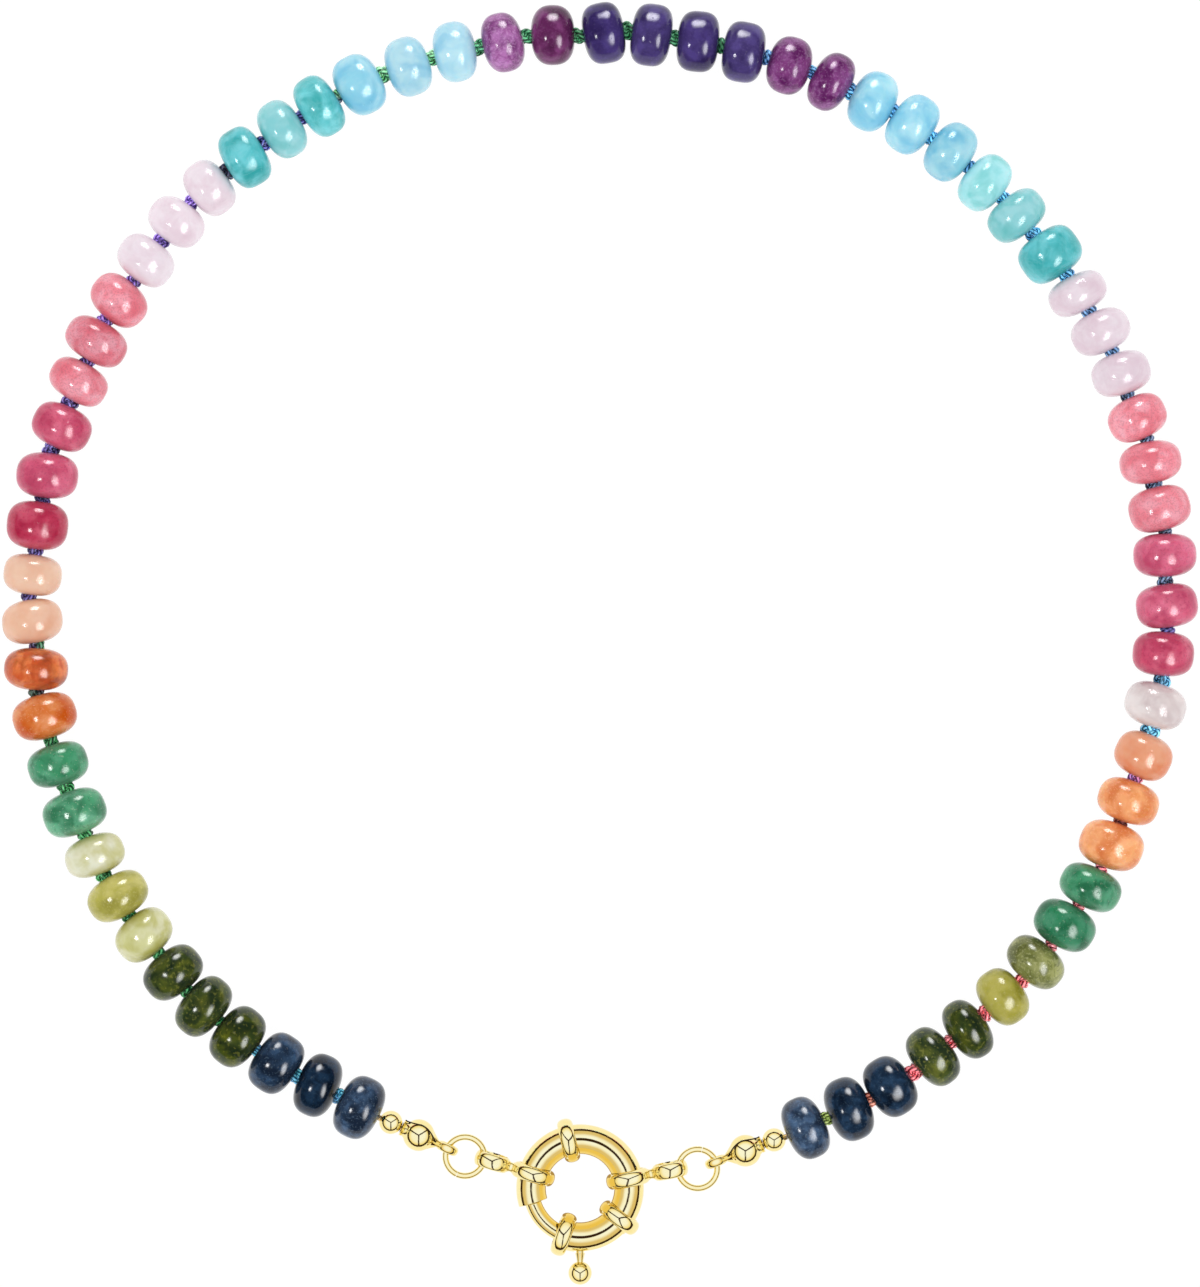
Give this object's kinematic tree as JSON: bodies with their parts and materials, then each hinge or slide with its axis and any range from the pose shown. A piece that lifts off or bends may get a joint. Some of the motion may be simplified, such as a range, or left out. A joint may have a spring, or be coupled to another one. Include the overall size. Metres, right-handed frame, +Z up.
{
  "type": "beaded necklace",
  "caption": "Knotted necklace of polished stone rondelles in a rainbow of colours, with a gold spring ring clasp.",
  "frame": {"origin": "middle of the necklace's box, on the surface that it lies on", "axes": "+Z up from the surface, +Y from the clasp to the far side of the loop, +X to the right seen from above"},
  "size_m": [0.1536, 0.1646, 0.008],
  "materials": {
    "gold": "polished gold plate",
    "thread": "twisted silky thread in changing colours",
    "stones": "polished stones in many colours",
    "stone_navy": "polished",
    "stone_moss": "polished",
    "stone_lemon": "polished",
    "stone_olive": "polished",
    "stone_cream": "polished",
    "stone_aventurine": "polished",
    "stone_orange": "polished",
    "stone_carnelian": "polished",
    "stone_peach": "polished",
    "stone_raspberry": "polished",
    "stone_salmon": "polished",
    "stone_rose": "polished",
    "stone_teal": "polished",
    "stone_aqua": "polished",
    "stone_sky": "polished",
    "stone_pale_sky": "polished",
    "stone_orchid": "polished",
    "stone_plum": "polished",
    "stone_indigo": "polished",
    "stone_milk_rose": "polished",
    "stone_sage": "polished"
  },
  "bodies": {
    "necklace": {"string_left": "stones", "string_right": "stones", "end_link_left": "gold", "end_link_right": "gold", "jump_ring_left": "gold", "jump_ring_right": "gold", "bead_tip_left": "gold", "bead_tip_right": "gold", "end_ball_left": "gold", "end_ball_right": "gold", "clasp_tube": "gold", "collar_top": "gold", "collar_lower_right": "gold", "collar_lower_left": "gold"},
    "trigger": {"clasp_bolt": "gold"}
  },
  "joints": [
    {"name": "clasp_trigger", "type": "hinge", "parent": "necklace", "child": "trigger", "pos_m": [-0.00256, -0.06992, 0.0028], "axis": [0, 0, 1], "range_deg": [0, 38], "stiffness_Nm_per_rad": 0.01, "springref_deg": -20.05}
  ]
}
